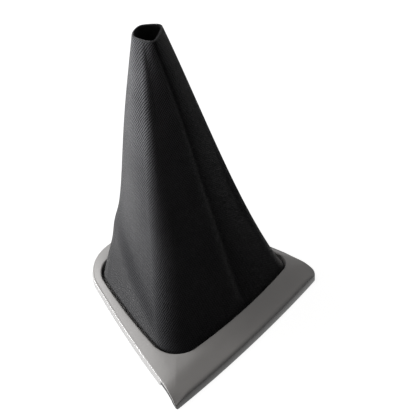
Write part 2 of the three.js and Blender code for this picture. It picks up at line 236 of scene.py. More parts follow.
def trimOutlines():
    stepStop = trim["stepLength"] / (outline["length"] - outline["endRadius"])
    split = trim["stepSplit"]
    sideStops = sorted(evenStops(trim["sideSteps"]) + [stepStop - split, stepStop + split])
    backStops = [0] + [1 - t for t in reversed(sideStops[1:])]
    arcs = [trim["pointArcSteps"], trim["pointArcSteps"], trim["endArcSteps"], trim["endArcSteps"]]
    wideStops, endStops = evenStops(trim["wideSteps"]), evenStops(trim["endSteps"])
    outer = planOutline(outerPlan, [wideStops, sideStops, endStops, backStops], arcs)
    fine = evenStops(trim["openingSteps"])
    loop = planOutline(openingPlan, [fine] * 4, [trim["openingArcSteps"]] * 4)
    return outer, [nearestOn(loop, p) for p in outer]


# height of the painted top: flat round the opening, folded down along the wide edge and at its points
def trimTopZ(x, y, share):
    half = outline["wide"] / 2
    wideLine = (outline["wideBow"] - outline["length"]) / 2 - outline["wideBow"] * (1 - (x / half) ** 2)
    inside = y - wideLine
    soft, far = trim["foldSoft"], trim["foldFar"]
    past = trim["foldAt"] - inside
    past = 0.5 * (past + math.sqrt(past * past + soft * soft)) - 0.5 * (math.sqrt(far * far + soft * soft) - far)
    slope = (trim["openingEdgeZ"] - trim["lipEdgeZ"]) / (trim["foldAt"] - trim["lipRound"])
    toPoint = rollOff((half - abs(x)) / trim["pointLength"])
    drop = slope * max(past, 0)
    drop += trim["sideDrop"] * smooth(inside / trim["stepLength"]) * clamp01(share) ** 1.2
    drop += trim["pointDrop"] * toPoint * clamp01((trim["stepLength"] - inside) / trim["pointLength"]) ** 3
    return trim["openingEdgeZ"] - drop


def isOnLip(k, count):
    half = trim["pointArcSteps"] / 2
    return k <= trim["wideSteps"] + half or k >= count - half


def trimSection(k, outer, opening, wideY):
    onLip = isOnLip(k, len(outer))
    start = opening[k]
    out = (outer[k] - start).normalized()
    reach = (outer[k] - start).length
    back = outer[k].y - wideY - outline["wideBow"]
    fall = rollOff(back / trim["rollLength"])
    toPoint = rollOff((outline["wide"] / 2 - abs(outer[k].x)) / trim["pointLength"])
    radius, share = (trim["lipRound"], toPoint) if onLip else (trim["rimRound"], fall)
    turn = mix(radius, trim["pointRound"], share)
    bevel = trim["edgeBevel"]

    def topAt(a):
        p = start + out * a
        return trimTopZ(p.x, p.y, (a - bevel) / (reach - turn - bevel))

    lean = 0.0  # the roll starts in line with the slope of the top
    for _ in range(4):
        flat = reach - turn * (1 - math.sin(lean))
        lean = max(0.0, math.atan((topAt(flat - trim["leanStep"]) - topAt(flat)) / trim["leanStep"]))
    edgeZ = topAt(flat)
    wallTop = edgeZ - turn * math.cos(lean)
    if onLip:
        footZ = 0.0
    elif back > trim["stepLength"]:
        footZ = trim["skirtBottomZ"]
    else:
        footZ = max(0.0, wallTop - trim["skinWall"] + turn) * smooth(back / trim["wallRise"])
    inner = reach - trim["skirtWall"]
    ceiling = max(footZ + trim["leastWall"], min(wallTop, edgeZ - trim["skinWall"]))
    profile = [(0, trim["beadZ"] + trim["beadSoft"]), (0, trim["openingEdgeZ"] - bevel)]
    for n in range(1, trim["bevelSteps"]):
        a = math.pi / 2 * n / trim["bevelSteps"]
        profile.append((bevel * (1 - math.cos(a)), trim["openingEdgeZ"] - bevel * (1 - math.sin(a))))
    for n in range(trim["topSteps"] + 1):
        a = bevel + (flat - bevel) * n / trim["topSteps"]
        profile.append((a, topAt(a)))
    for n in range(1, trim["rollSteps"] + 1):
        a = mix(lean, math.pi / 2, n / trim["rollSteps"])
        z = edgeZ - turn * (math.cos(lean) - math.cos(a))
        profile.append((flat + turn * (math.sin(a) - math.sin(lean)), z))
    r = trim["footRound"]
    foot = reach + trim["skirtDraft"]
    low = min(footZ + r, wallTop - trim["leastDrop"])
    profile += [(foot, low), (foot - r * 0.3, footZ + r * 0.3), (foot - r, footZ), (inner + r, footZ)]
    profile += [(inner + r * 0.3, footZ + r * 0.3), (inner, min(footZ + r, ceiling - trim["leastDrop"]))]
    profile.append((inner, ceiling))
    for n in range(trim["ceilingSteps"] - 1, 0, -1):
        a = mix(trim["edgeBead"], inner, n / trim["ceilingSteps"])
        profile.append((a, max(topAt(a) - trim["skinWall"], ceiling)))
    profile += [(trim["edgeBead"], trim["openingEdgeZ"] - trim["skinWall"]), (trim["edgeBead"], trim["beadZ"])]
    profile.append((trim["beadSoft"], trim["beadZ"]))
    side = -math.copysign(1, outer[k].x) * trim["pointRake"] * toPoint * (1 - smooth(back / trim["rakeLength"]))
    section = []
    for a, z in profile:
        rake = side * clamp01(1 - z / trim["pointEdgeZ"])
        section.append(Vector((start.x + out.x * a + rake, start.y + out.y * a, z)) * mm)
    return section


def buildTrimFrame():
    outer, opening = trimOutlines()
    wideY = min(p.y for p in outer)
    obj = loft("trimFrame", [trimSection(k, outer, opening, wideY) for k in range(len(outer))])
    painted, lipShade = [], []
    for k, level in zip(pointMarks(obj, "station"), pointMarks(obj, "level")):
        onLip = isOnLip(k, len(outer))
        back = outer[k].y - wideY - outline["wideBow"]
        # the outer wall from each point back to the step gets the same dark colour as the bare underside
        darkEnd = not onLip and back < trim["stepLength"] and level > trim["darkEndFrom"]
        painted.append(0.0 if level > trim["insideFrom"] or darkEnd else (0.5 if level == 0 else 1.0))
        # painted shade on the lip's roll, darker towards its foot
        lipShade.append(smooth((level - trim["lipShadeFrom"]) / trim["lipShadeLevels"]) if onLip else 0.0)
    addPointValues(obj, "painted", painted)
    addPointValues(obj, "lipPaintedShade", lipShade)
    dropMarks(obj)
    bpy.ops.object.shade_smooth_by_angle(angle=math.radians(42))
    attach(obj, "root")
    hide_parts("trim_frame")
    return obj


# leather sleeve: from its foot under the ring up to the mouth, then down again as the lining side
leather = {
    "wall": 1.2, "rimWall": 1.4, "inset": 1.5, "tuckReach": 2.3, "tuckTopZ": 3.3, "baseZ": 9.2, "mouthZ": 185.0,
    "creaseAt": 17, "creaseTop": 17.4, "creaseDrift": 2.9, "creaseDepth": 1.25, "creaseWidth": 4.2, "recess": 9.0,
    "creaseFoot": 0.08, "creaseHead": 0.05, "driftTo": 0.4, "mouthShare": 0.45, "ridgeHeight": 0.5,
    "leftSwell": 2.6, "bellLeft": 6.0, "bellRight": 0.25, "faceHollow": 2.0,
    "lowBulge": 1.7, "foldRear": 0.27, "foldFront": 0.09, "foldSoft": 0.11,
    "shoulderHeight": 1.1, "shoulderAt": 0.25, "shoulderSpan": 0.055, "shoulderWidth": 0.8,
    "levels": 150, "innerLevels": 50, "finer": 3, "tuckLevels": 6, "outsideFrom": 3, "rimSteps": 6,
}
sleeveSteps = {"wide": 26, "side": 12, "end": 6, "point": 5, "endArc": 7}
mouthOutline = [(-6.3, 16.2), (-2.9, 11.6), (10.1, 17.7), (11, 20.3), (7.2, 25), (2.4, 27.8), (-6.2, 24.2)]


def centripetal(points, u):
    count = len(points)
    k = int(u * count) % count
    t = u * count - int(u * count)
    p0, p1, p2, p3 = (Vector(points[(k + n) % count]) for n in (-1, 0, 1, 2))
    d01, d12, d23 = ((b - a).length ** 0.5 for a, b in ((p0, p1), (p1, p2), (p2, p3)))
    m1 = ((p1 - p0) / d01 - (p2 - p0) / (d01 + d12) + (p2 - p1) / d12) * d12
    m2 = ((p2 - p1) / d12 - (p3 - p1) / (d12 + d23) + (p3 - p2) / d23) * d12
    return p1 + m1 * t + (p1 * -3 + p2 * 3 - m1 * 2 - m2) * t * t + (p1 * 2 - p2 * 2 + m1 + m2) * t ** 3


class SleeveShape:
    def __init__(self):
        s, fine = sleeveSteps, leather["finer"]
        side = evenStops(s["side"] * fine)
        stops = [evenStops(s["wide"] * fine), side, evenStops(s["end"] * fine), side]
        arcs = [s["point"] * fine, s["point"] * fine, s["endArc"] * fine, s["endArc"] * fine]
        self.foot = grow(planOutline(openingPlan, stops, arcs), -leather["inset"])
        self.count = len(self.foot)
        self.fine = fine
        self.rightStart = s["wide"] + s["point"]
        self.endStart = self.rightStart + s["side"] + s["endArc"]
        self.around = self.count / fine
        self.leftStart = self.around - s["point"] - s["side"]
        self.keys = [
            -s["point"] / 2, leather["creaseAt"], s["wide"] + s["point"] / 2, self.rightStart + s["side"] / 12,
            self.endStart - s["endArc"] / 2, self.leftStart - s["endArc"] * 0.8, self.leftStart + s["side"] / 12,
        ]
        self.ridge = self.count - s["point"] * fine // 2
        self.seam = round((self.rightStart + s["side"] + s["endArc"] + s["end"] / 2) * fine)
        self.out = [outwards(self.foot, k) for k in range(self.count)]
        self.top = [self.mouthAt(k / fine) for k in range(self.count)]

    # the mouth's outline is keyed to stations round the foot
    def mouthAt(self, station):
        if station > self.keys[-1]:
            station -= self.around
        keys = [self.keys[-1] - self.around] + self.keys + [self.keys[0] + self.around]
        k = max(n for n in range(len(keys) - 1) if keys[n] <= station)
        t = (station - keys[k]) / (keys[k + 1] - keys[k])
        return centripetal(mouthOutline, ((k - 1 + t) / len(mouthOutline) + 1) % 1)

    # distance from the long crease, positive to its right, in millimetres of the foot's scale
    def fromCrease(self, k, v):
        nextK = (k + 1) % self.count
        step = mix((self.foot[nextK] - self.foot[k]).length, (self.top[nextK] - self.top[k]).length, v) * self.fine
        creaseAt = leather["creaseTop"] - leather["creaseDrift"] * (1 - smooth(v / leather["driftTo"]))
        return (k / self.fine - creaseAt) * step / mix(1, leather["mouthShare"], v)

    # where the outside of the leather is, at a station and a share of the height
    def point(self, k, v):
        i = k / self.fine
        foot, top, out = self.foot[k], self.top[k], self.out[k]
        rightward = smooth((out.x + 1) / 2)
        bellLeft = leather["bellLeft"] * v ** 2 * (1 - v) ** 4
        bellRight = leather["bellRight"] * v ** 0.7 * (1 - v) ** 1.5
        p = foot.lerp(top, v + mix(bellLeft, bellRight, rightward))
        shown = smooth(v / leather["creaseFoot"]) * smooth((1 - v) / leather["creaseHead"])
        shown *= mix(1, leather["mouthShare"], v) * (1 if i < self.rightStart else 0)
        fromCrease = self.fromCrease(k, v)
        width = leather["creaseWidth"]
        push = -leather["creaseDepth"] * bump(fromCrease, width if fromCrease < 0 else leather["recess"]) * shown
        push += leather["ridgeHeight"] * bump(fromCrease + width * 2.4, width * 1.4) * shown
        onLeft = clamp01((i - self.leftStart) / sleeveSteps["side"])
        leftFace = math.sin(math.pi * onLeft)
        push -= leftFace * leather["faceHollow"] * math.sin(math.pi * v) * 0.6 * (1 - smooth(v / leather["driftTo"]))
        swell = math.sin(math.pi * clamp01((i - self.leftStart) / (sleeveSteps["side"] + sleeveSteps["point"])))
        push += swell ** 1.5 * leather["leftSwell"] * smooth((v - 0.2) / 0.3) * math.sqrt(1 - v)
        foldAt = mix(leather["foldRear"], leather["foldFront"], onLeft)
        bulge = smooth(v / foldAt) * (1 - smooth((v - foldAt) / leather["foldSoft"] + 0.5))
        push += abs(leftFace) ** 0.7 * leather["lowBulge"] * bulge
        fromRearLeft = (i - self.leftStart) / sleeveSteps["endArc"] + 0.5
        shoulder = bump(v - leather["shoulderAt"], leather["shoulderSpan"])
        push += leather["shoulderHeight"] * shoulder * bump(fromRearLeft, leather["shoulderWidth"])
        rightFace = math.sin(math.pi * clamp01((i - self.rightStart) / sleeveSteps["side"]))
        push -= rightFace * leather["faceHollow"] * math.sin(math.pi * v)
        rimZ = leather["mouthZ"] - leather["rimWall"] / 2
        p = p + out * push
        return Vector((p.x, p.y, mix(leather["baseZ"], rimZ, v)))


# the leather as it was cut, open along the back seam: strips between two stations, unrolled one by one
def unrollLeather(shape, grid):
    # the point to the right of a line, at its distances from both ends
    def rightOf(a, b, fromA, fromB):
        span = b - a
        along = (span.length_squared + fromA ** 2 - fromB ** 2) / (2 * span.length)
        unit = span.normalized()
        return a + unit * along + Vector((unit.y, -unit.x)) * math.sqrt(max(fromA ** 2 - along ** 2, 0))

    order = [(shape.seam + n) % shape.count for n in range(shape.count + 1)]
    seamLength = (grid[shape.seam][-1] - grid[shape.seam][0]).length
    low, high = Vector((0, 0)), Vector((0, seamLength))
    lines = [(low, high)]
    for k, following in zip(order, order[1:]):
        foot, top = grid[k][0], grid[k][-1]
        nextFoot, nextTop = grid[following][0], grid[following][-1]
        low = rightOf(low, high, (nextFoot - foot).length, (nextFoot - top).length)
        high = rightOf(low, high, (nextTop - nextFoot).length, (nextTop - top).length)
        lines.append((low, high))
    low, high = lines[(shape.ridge - shape.seam) % shape.count]
    upright = Matrix.Rotation(math.pi / 2 - math.atan2(high.y - low.y, high.x - low.x), 2)
    return [(upright @ (a - low) * mm, upright @ (b - low) * mm) for a, b in lines]


def layOutLeather(obj, shape, grid):
    lines = unrollLeather(shape, grid)
    stations, heights = pointMarks(obj, "station"), pointMarks(obj, "level")
    levels, first = leather["levels"], leather["tuckLevels"]
    rimMiddle = first + levels + leather["rimSteps"] // 2
    layer = obj.data.uv_layers.new(name="cutPattern")
    spots = []
    shape.cutArea = 0.0
    for face in obj.data.polygons:
        outside = all(leather["outsideFrom"] <= heights[v] <= rimMiddle for v in face.vertices)
        face.material_index = 0 if outside else 1
        lastStrip = any((stations[v] + 1) % shape.count == shape.seam for v in face.vertices)
        for n in face.loop_indices:
            v = obj.data.loops[n].vertex_index
            k = (stations[v] - shape.seam) % shape.count
            low, high = lines[shape.count if lastStrip and k == 0 else k]
            h = heights[v]
            share = (h - first) / levels if h <= rimMiddle else 1 - (h - rimMiddle) / leather["innerLevels"]
            layer.uv[n].vector = low + (high - low) * share
            if outside:
                spots.append(layer.uv[n].vector.copy())
        if outside:
            shape.cutArea += face.area
    shape.flat = [max(p[n] for p in spots) - min(p[n] for p in spots) for n in (0, 1)]
    # painted highlight: a lighter band all round the mouth's rim
    addPointValues(obj, "rimHighlight", [bump(h - rimMiddle + 1, 1.5) if h > first * 2 else 0.0 for h in heights])
    # painted shade in the long crease, strongest in the fold and fading to each side
    creaseShade = []
    for k, h in zip(stations, heights):
        d = shape.fromCrease(k, clamp01((h - first) / levels))
        creaseShade.append(bump(d, leather["creaseWidth"] * 0.4 if d < 0 else leather["recess"] * 0.5))
    addPointValues(obj, "creaseShade", creaseShade)
    dropMarks(obj)


def buildSleeve():
    shape = SleeveShape()
    levels = leather["levels"]
    grid = [[shape.point(k, n / levels) for n in range(levels + 1)] for k in range(shape.count)]
    tuck = grow(shape.foot, leather["tuckReach"])
    sections = []
    for k in range(shape.count):
        line = grid[k]
        ahead, behind = grid[(k + 1) % shape.count], grid[k - 1]
        normals = []
        for n in range(levels + 1):
            up = line[min(n + 1, levels)] - line[max(n - 1, 0)]
            normals.append((ahead[n] - behind[n]).cross(up).normalized())
        foot = shape.foot[k]
        inside = foot - shape.out[k] * leather["wall"]
        topZ, wall = leather["tuckTopZ"], leather["wall"]
        section = [
            Vector((inside.x, inside.y, topZ + 0.6)), Vector((inside.x, inside.y, topZ - wall)),
            Vector((tuck[k].x, tuck[k].y, topZ - wall)), Vector((tuck[k].x, tuck[k].y, topZ)),
            Vector((foot.x, foot.y, topZ + 0.1)), Vector((foot.x, foot.y, mix(topZ, leather["baseZ"], 0.5))),
        ] + line
        rim = leather["rimWall"]
        level = Vector((normals[-1].x, normals[-1].y, 0)).normalized()
        for n in range(1, leather["rimSteps"]):
            a = math.pi * n / leather["rimSteps"]
            lift = Vector((0, 0, rim / 2 * math.sin(a)))
            section.append(line[-1] - level * rim / 2 * (1 - math.cos(a)) + lift)
        inner = leather["innerLevels"]
        for n in range(inner, -1, -1):
            m = round(n * levels / inner)
            thick = mix(wall, rim, smooth((m / levels - 0.9) / 0.04))
            flatNormal = Vector((normals[m].x, normals[m].y, 0)).normalized()
            section.append(line[m] - flatNormal * thick)
        sections.append([p * mm for p in section])
    obj = loft("gaiterSleeve", sections)
    bpy.ops.object.shade_smooth_by_angle(angle=math.radians(60))
    layOutLeather(obj, shape, grid)
    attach(obj, "root")
    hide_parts("gaiter_sleeve")
    return obj, shape


trimFrame = buildTrimFrame()
print("trim frame lofted")
sleeve, sleeveShape = buildSleeve()
print("sleeve lofted, cut %.3f x %.3f m, %.4f m2" % (*sleeveShape.flat, sleeveShape.cutArea))


# copies of a piece that was modelled once, each with its own mesh, joined under the first one's name
def placeCopies(obj, places):
    name = obj.name
    copies = []
    for place in places:
        twin = obj.copy()
        twin.data = obj.data.copy()
        twin.data.transform(place)
        scene.collection.objects.link(twin)
        copies.append(twin)
    bpy.data.objects.remove(obj)
    bpy.ops.object.select_all(action="DESELECT")
    for twin in copies:
        twin.select_set(True)
    bpy.context.view_layer.objects.active = copies[0]
    bpy.ops.object.join()
    joined = bpy.context.object
    joined.name = joined.data.name = name
    return joined


def frameMatrix(origin, along, out):
    across = out.cross(along).normalized()
    out = along.cross(across).normalized()
    turned = Matrix((along.normalized(), across, out)).transposed().to_4x4()
    return Matrix.Translation(origin) @ turned


def selectPoints(obj, test):
    bpy.ops.object.mode_set(mode="EDIT")
    bpy.ops.mesh.select_mode(type="VERT")
    bpy.ops.mesh.select_all(action="DESELECT")
    edit = bmesh.from_edit_mesh(obj.data)
    for vertex in edit.verts:
        vertex.select = test(vertex.co / mm)
    edit.select_flush(True)
    bmesh.update_edit_mesh(obj.data)


def softenEdges(obj, width, angle=30):
    bevel = obj.modifiers.new("softEdges", "BEVEL")
    bevel.width = width * mm
    bevel.segments = 2
    bevel.angle_limit = math.radians(angle)
    bpy.context.view_layer.objects.active = obj
    bpy.ops.object.modifier_apply(modifier=bevel.name)
    bpy.ops.object.shade_smooth_by_angle(angle=math.radians(40))


# back seam: a lapped strip of the same leather with a row of stitches along each side
seam = {
    "width": 6.4, "rise": 0.7, "crown": 0.12, "sink": 0.5, "edge": 0.35, "from": 1, "to": 148,
    "threadRadius": 0.3, "threadSides": 8, "stitchLength": 3.4, "pitch": 4.6, "rowAside": 2.1, "rowLift": 0.05,
}


def seamLine(shape):
    line = []
    for n in range(seam["from"], seam["to"]):
        v = n / leather["levels"]
        spot, ahead = shape.point(shape.seam, v), shape.point(shape.seam, v + 0.005)
        across = (shape.point(shape.seam + 2, v) - shape.point(shape.seam - 2, v)).normalized()
        up = (ahead - spot).normalized()
        line.append((spot, up, across, across.cross(up).normalized()))
    return line


def buildBackSeam(line):
    half, edge, rise = seam["width"] / 2, seam["edge"], seam["rise"]
    profile = [
        (-half, -seam["sink"]), (-half, rise - edge), (-half + edge, rise), (-half * 0.4, rise + seam["crown"]),
        (half * 0.4, rise + seam["crown"]), (half - edge, rise), (half, rise - edge), (half, -seam["sink"]),
    ]
    sections = [[(spot + across * a + out * r) * mm for spot, _, across, out in line] for a, r in profile]
    strip = loft("backSeam", sections, closed=False)
    stations, heights = pointMarks(strip, "station"), pointMarks(strip, "level")
    layer = strip.data.uv_layers.new(name="cutPattern")
    for loop in strip.data.loops:
        v = loop.vertex_index
        layer.uv[loop.index].vector = (profile[stations[v]][0] * mm, line[heights[v]][0].z * mm)
    dropMarks(strip)
    bpy.ops.object.shade_smooth_by_angle(angle=math.radians(50))
    return strip


def buildSeamStitches(line):
    half, radius = seam["stitchLength"] / 2, seam["threadRadius"]
    path = [
        (-half, -0.6), (-half * 0.88, -0.1), (-half * 0.6, 0.16), (0, 0.24),
        (half * 0.6, 0.16), (half * 0.88, -0.1), (half, -0.6),
    ]
    sections = []
    for k in range(seam["threadSides"]):
        a = 2 * math.pi * k / seam["threadSides"]
        sections.append([Vector((x, math.cos(a) * radius, z + math.sin(a) * radius)) * mm for x, z in path])
    stitch = loft("seamStitches", sections, closed=False)
    dropMarks(stitch)
    bpy.ops.object.shade_smooth()
    places = []
    gone = 0.0
    for (spot, up, across, out), (nextSpot, _, _, _) in zip(line, line[1:]):
        gone += (nextSpot - spot).length
        if gone > seam["pitch"]:
            gone -= seam["pitch"]
            for side in (-1, 1):
                origin = spot + across * side * seam["rowAside"] + out * (seam["rise"] + seam["rowLift"])
                places.append(frameMatrix(origin * mm, up, out))
    return placeCopies(stitch, places)


backLine = seamLine(sleeveShape)
backSeam = buildBackSeam(backLine)
seamStitches = buildSeamStitches(backLine)
for piece in (backSeam, seamStitches):
    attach(piece, "root")
print("back seam sewn")


# snap hooks and melted pins under the trim frame, moulded with it
clip = {
    "width": 10.0, "wall": 1.5, "barb": 1.3, "barbLow": 2.1, "barbHigh": 3.0, "topZ": 9.4, "back": 3.4,
    "rearX": 15.0, "sideY": -27.0, "lead": 0.4, "soft": 0.22,
}
pin = {
    "radius": 1.5, "headRadius": 2.5, "headTopZ": 3.3, "headHeight": 1.3, "headRound": 0.9,
    "topZ": 9.2, "out": 5.7, "wideX": 32.0,
}
near = 0.01  # millimetres within which a point counts as lying on a plane


def buildHook():
    bpy.ops.object.select_all(action="DESELECT")
    wall, low, high = clip["wall"], clip["barbLow"], clip["barbHigh"]
    middle = (wall / 2 * mm, 0, clip["topZ"] / 2 * mm)
    bpy.ops.mesh.primitive_cube_add(size=1, location=middle, scale=(wall * mm, clip["width"] * mm, clip["topZ"] * mm))
    bpy.ops.object.transform_apply(location=True, rotation=True, scale=True)
    hook = bpy.context.object
    hook.name = "frameClips"
    bpy.ops.object.mode_set(mode="EDIT")
    for height in (low, high):
        bpy.ops.mesh.select_all(action="SELECT")
        bpy.ops.mesh.bisect(plane_co=(0, 0, height * mm), plane_no=(0, 0, 1))
    selectPoints(hook, lambda p: p.x > wall - near and low - near < p.z < high + near)
    bpy.ops.mesh.extrude_region_move(TRANSFORM_OT_translate={"value": (clip["barb"] * mm, 0, 0)})
    selectPoints(hook, lambda p: p.z < near and p.x > wall / 2)
    bpy.ops.transform.translate(value=(-wall * clip["lead"] * mm, 0, 0))
    bpy.ops.object.mode_set(mode="OBJECT")
    softenEdges(hook, clip["soft"])
    return hook


def buildPin():
    bpy.ops.object.select_all(action="DESELECT")
    height = pin["headHeight"]
    bpy.ops.mesh.primitive_cylinder_add(vertices=32, radius=pin["headRadius"] * mm, depth=height * mm,
                                        location=(0, 0, (pin["headTopZ"] - height / 2) * mm))
    bpy.ops.object.transform_apply(location=True, rotation=True, scale=True)
    peg = bpy.context.object
    peg.name = "frameClips"
    selectPoints(peg, lambda p: p.z > pin["headTopZ"] - near)
    bpy.ops.mesh.inset(thickness=(pin["headRadius"] - pin["radius"]) * mm)
    bpy.ops.mesh.extrude_region_move(TRANSFORM_OT_translate={"value": (0, 0, (pin["topZ"] - pin["headTopZ"]) * mm)})
    selectPoints(peg, lambda p: p.z < pin["headTopZ"] - height + near)
    bpy.ops.mesh.bevel(offset=pin["headRound"] * mm, segments=4)
    bpy.ops.object.mode_set(mode="OBJECT")
    bpy.ops.object.shade_smooth_by_angle(angle=math.radians(40))
    return peg


def buildFrameClips():
    outer, opening = trimOutlines()
    rearY = max(p.y for p in outer)
    seats = [(Vector((outline["narrowAside"] + side * clip["rearX"], rearY)), Vector((0, 1))) for side in (-1, 1)]
    for side in (-1, 1):
        onSide = [n for n in range(len(outer)) if outer[n].x * side >= 0]
        k = min(onSide, key=lambda n: abs(outer[n].y - clip["sideY"]))
        seats.append((outer[k], outwards(outer, k)))
    hookPlaces = []
    for spot, out in seats:
        foot = spot - out * clip["back"]
        turned = Matrix.Rotation(math.atan2(out.y, out.x), 4, "Z")
        hookPlaces.append(Matrix.Translation(Vector((foot.x, foot.y, 0)) * mm) @ turned)
    hooks = placeCopies(buildHook(), hookPlaces)
    spots = []
    for x in (-pin["wideX"], pin["wideX"]):
        edge = min((p for p in opening if p.y < 0), key=lambda p: abs(p.x - x))
        spots.append(Vector((x, edge.y - pin["out"])))
    spots.append(Vector((openingPlan["endAside"], max(p.y for p in opening) + pin["out"])))
    pins = placeCopies(buildPin(), [Matrix.Translation(Vector((p.x, p.y, 0)) * mm) for p in spots])
    bpy.ops.object.select_all(action="DESELECT")
    pins.select_set(True)
    hooks.select_set(True)
    bpy.context.view_layer.objects.active = hooks
    bpy.ops.object.join()
    hooks.name = hooks.data.name = "frameClips"
    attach(hooks, "root")
    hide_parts("trim_frame")
    return hooks


frameClips = buildFrameClips()
print("hooks and pins placed")


# finishes
def addNode(tree, kind, values=None, **settings):
    node = tree.nodes.new("ShaderNode" + kind)
    for name, value in settings.items():
        setattr(node, name, value)
    for socket, value in (values or {}).items():
        if isinstance(value, bpy.types.NodeSocket):
            tree.links.new(value, node.inputs[socket])
        else:
            node.inputs[socket].default_value = value
    return node


def newMaterial(name, colour, roughness, specular=0.5):
    material = bpy.data.materials.new(name)
    material.use_nodes = True
    shader = material.node_tree.nodes["Principled BSDF"]
    shader.inputs["Base Color"].default_value = (*colour, 1)
    shader.inputs["Roughness"].default_value = roughness
    shader.inputs["Specular IOR Level"].default_value = specular
    return material, material.node_tree, shader


def blendColours(tree, factor, a, b):
    node = addNode(tree, "Mix", {"Factor": factor}, data_type="RGBA")
    for socket, value in ((6, a), (7, b)):
        if isinstance(value, bpy.types.NodeSocket):
            tree.links.new(value, node.inputs[socket])
        else:
            node.inputs[socket].default_value = (*value, 1)
    return node.outputs[2]


def mapValue(tree, value, low, high):
    return addNode(tree, "MapRange", {"Value": value, "To Min": low, "To Max": high}).outputs["Result"]


def multiplyAdd(tree, value, factor, added):
    return addNode(tree, "Math", {0: value, 1: factor, 2: added}, operation="MULTIPLY_ADD").outputs[0]


def pointValue(tree, name):
    return addNode(tree, "Attribute", attribute_name=name).outputs["Fac"]


def emboss(tree, shader, height, strength, depth):
    relief = addNode(tree, "Bump", {"Height": height, "Strength": strength, "Distance": depth})
    tree.links.new(relief.outputs["Normal"], shader.inputs["Normal"])


# fine irregular surface that paint, moulding and leather share: grain height and slow clouding
def buildSurfaceGroup():
    group = bpy.data.node_groups.new("fineSurface", "ShaderNodeTree")
    sockets = group.interface
    sockets.new_socket("Vector", in_out="INPUT", socket_type="NodeSocketVector")
    for name, value in (("Grain Scale", 2000.0), ("Cloud Scale", 30.0)):
        sockets.new_socket(name, in_out="INPUT", socket_type="NodeSocketFloat").default_value = value
    for name in ("Grain", "Cloud"):
        sockets.new_socket(name, in_out="OUTPUT", socket_type="NodeSocketFloat")
    start, end = group.nodes.new("NodeGroupInput"), group.nodes.new("NodeGroupOutput")
    spot = start.outputs["Vector"]
    fine = addNode(group, "TexNoise", {"Vector": spot, "Scale": start.outputs["Grain Scale"], "Detail": 3.0})
    cells = addNode(group, "TexVoronoi", {"Vector": spot, "Scale": start.outputs["Grain Scale"]})
    grain = addNode(group, "Math", {0: fine.outputs["Fac"], 1: cells.outputs["Distance"]}, operation="MULTIPLY")
    slow = addNode(group, "TexNoise", {"Vector": spot, "Scale": start.outputs["Cloud Scale"], "Detail": 4.0})
    cloud = addNode(group, "MapRange", {"Value": slow.outputs["Fac"], "From Min": 0.3, "From Max": 0.7})
    group.links.new(grain.outputs[0], end.inputs["Grain"])
    group.links.new(cloud.outputs["Result"], end.inputs["Cloud"])
    return group


surfaceGroup = buildSurfaceGroup()


def useSurface(tree, vector, grainScale, cloudScale):
    values = {"Vector": vector, "Grain Scale": grainScale, "Cloud Scale": cloudScale}
    node = tree.nodes.new("ShaderNodeGroup")
    node.node_tree = surfaceGroup
    for name, value in values.items():
        if isinstance(value, bpy.types.NodeSocket):
            tree.links.new(value, node.inputs[name])
        else:
            node.inputs[name].default_value = value
    return node.outputs["Grain"], node.outputs["Cloud"]


# silver paint on black plastic: fine flake, a soft orange peel, no paint inside
paint = {
    "light": (0.39, 0.382, 0.375), "dark": (0.33, 0.323, 0.318),
    # lipShade is a painted shade colour for the rolled lip
    "lipShade": (0.09, 0.087, 0.083), "bare": (0.022, 0.022, 0.023),
    "roughness": 0.42, "smoother": 0.04, "rougher": 0.05, "specular": 0.12,
    "clearCoat": 0.5, "coatRoughness": 0.13, "flakeScale": 5200.0, "cloudScale": 22.0,
    "peelScale": 700.0, "peelDepth": 0.00004, "peelStrength": 0.5, "edgeScale": 900.0,
}


def makeSilverPaint():
    material, tree, shader = newMaterial("silverPaint", paint["light"], paint["roughness"], paint["specular"])
    shader.inputs["Coat Weight"].default_value = paint["clearCoat"]
    shader.inputs["Coat Roughness"].default_value = paint["coatRoughness"]
    spot = addNode(tree, "TexCoord").outputs["Object"]
    flake, cloud = useSurface(tree, spot, paint["flakeScale"], paint["cloudScale"])
    peel, _ = useSurface(tree, spot, paint["peelScale"], paint["cloudScale"])
    tone = addNode(tree, "Math", {0: flake, 1: cloud}, operation="ADD")
    tone = mapValue(tree, tone.outputs[0], 0.0, 1.0)
    silver = blendColours(tree, tone, paint["light"], paint["dark"])
    # painted shade: the rolled lip is blended towards dark grey
    silver = blendColours(tree, pointValue(tree, "lipPaintedShade"), silver, paint["lipShade"])
    ragged = addNode(tree, "TexNoise", {"Vector": spot, "Scale": paint["edgeScale"], "Detail": 3.0})
    covered = addNode(tree, "Math", {0: ragged.outputs["Fac"], 1: pointValue(tree, "painted")}, operation="ADD")
    covered = addNode(tree, "MapRange", {"Value": covered.outputs[0], "From Min": 0.9, "From Max": 1.1})
    silver = blendColours(tree, covered.outputs["Result"], paint["bare"], silver)
    tree.links.new(silver, shader.inputs["Base Color"])
    roughness = mapValue(tree, cloud, paint["roughness"] - paint["smoother"], paint["roughness"] + paint["rougher"])
    tree.links.new(roughness, shader.inputs["Roughness"])
    emboss(tree, shader, peel, paint["peelStrength"], paint["peelDepth"])
    return material


# embossed leather: two crossing rows of ribs, broken up by fine wrinkles
grainPattern = {
    "ribPitch": 0.00115, "ribAngle": 40.0, "crossPitch": 0.0011, "crossAngle": -60.0, "depth": 0.0003,
    "high": (0.165, 0.165, 0.173), "low": (0.006, 0.006, 0.007), "rimHighlight": (0.075, 0.075, 0.079),
    "roughness": 0.52, "smoother": 0.05, "rougher": 0.1, "specular": 0.01, "sheen": 0.8, "sheenRoughness": 0.34,
    "driftScale": 220.0, "drift": 0.0012, "wrinkleScale": 1500.0, "cloudScale": 28.0,
    "ribShare": 0.7, "crossShare": 0.3, "wrinkleShare": 0.45, "cloudShare": 0.22, "strength": 0.7,
    "creaseShadeTone": 0.1, "darkestBelow": 0.02, "lightestAbove": 0.17, "footShadeTone": 0.17,
}


